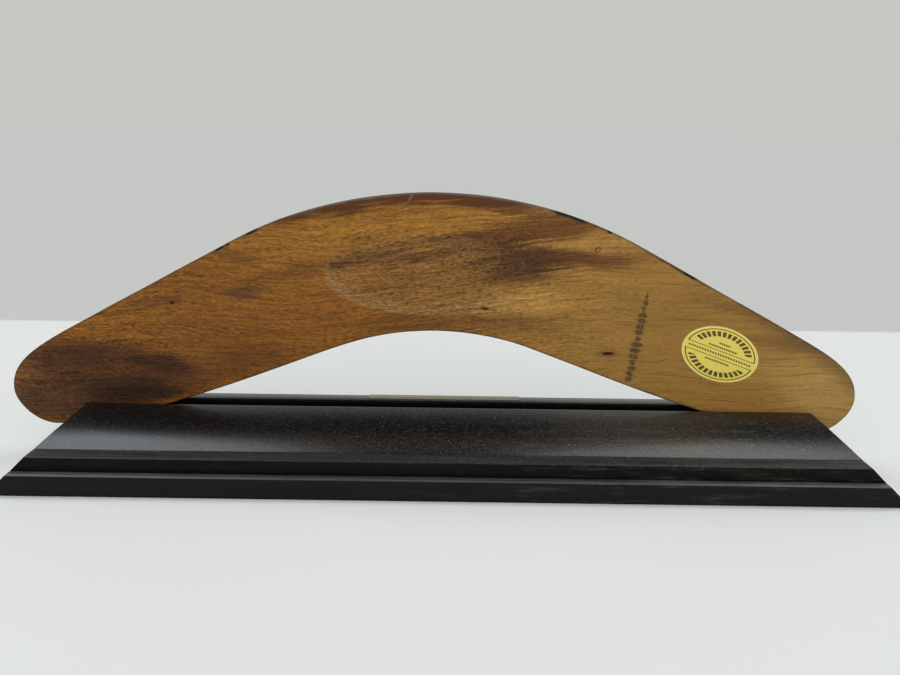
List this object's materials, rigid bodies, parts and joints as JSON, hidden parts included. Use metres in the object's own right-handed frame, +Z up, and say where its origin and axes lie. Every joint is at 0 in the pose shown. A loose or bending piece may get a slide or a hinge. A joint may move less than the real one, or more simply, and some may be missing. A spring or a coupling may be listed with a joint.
{
  "type": "boomerang with display stand",
  "caption": "Wooden boomerang with rounded elbow and broad tips, standing arch-up in the slot of a low black display stand, from which it lifts out.",
  "frame": {"origin": "on the table, under the middle of the stand", "axes": "+X along the stand, to the right as seen from the boomerang's plain back; +Y from the plain back towards the painted face; +Z up, the way the boomerang lifts out"},
  "size_m": [0.4079, 0.0608, 0.1277],
  "materials": {
    "varnished_wood": "clear satin varnish",
    "label_paper": "printed gloss label",
    "black_moulding": "satin black lacquer",
    "black_board": "satin black lacquer",
    "zinc_steel": "zinc plated",
    "plate_brass": "satin foil"
  },
  "bodies": {
    "stand": {"front_moulding": "black_moulding", "rear_rail": "black_moulding", "spacer_strip": "black_moulding", "base_board": "black_board", "base_screws": "zinc_steel", "name_plate": "plate_brass"},
    "boomerang": {"blade": "varnished_wood", "certificate_label": "label_paper"}
  },
  "joints": [
    {"name": "lift_out", "type": "slide", "parent": "stand", "child": "boomerang", "axis": [0, 0, 1], "range_m": [0, 0.06]}
  ]
}
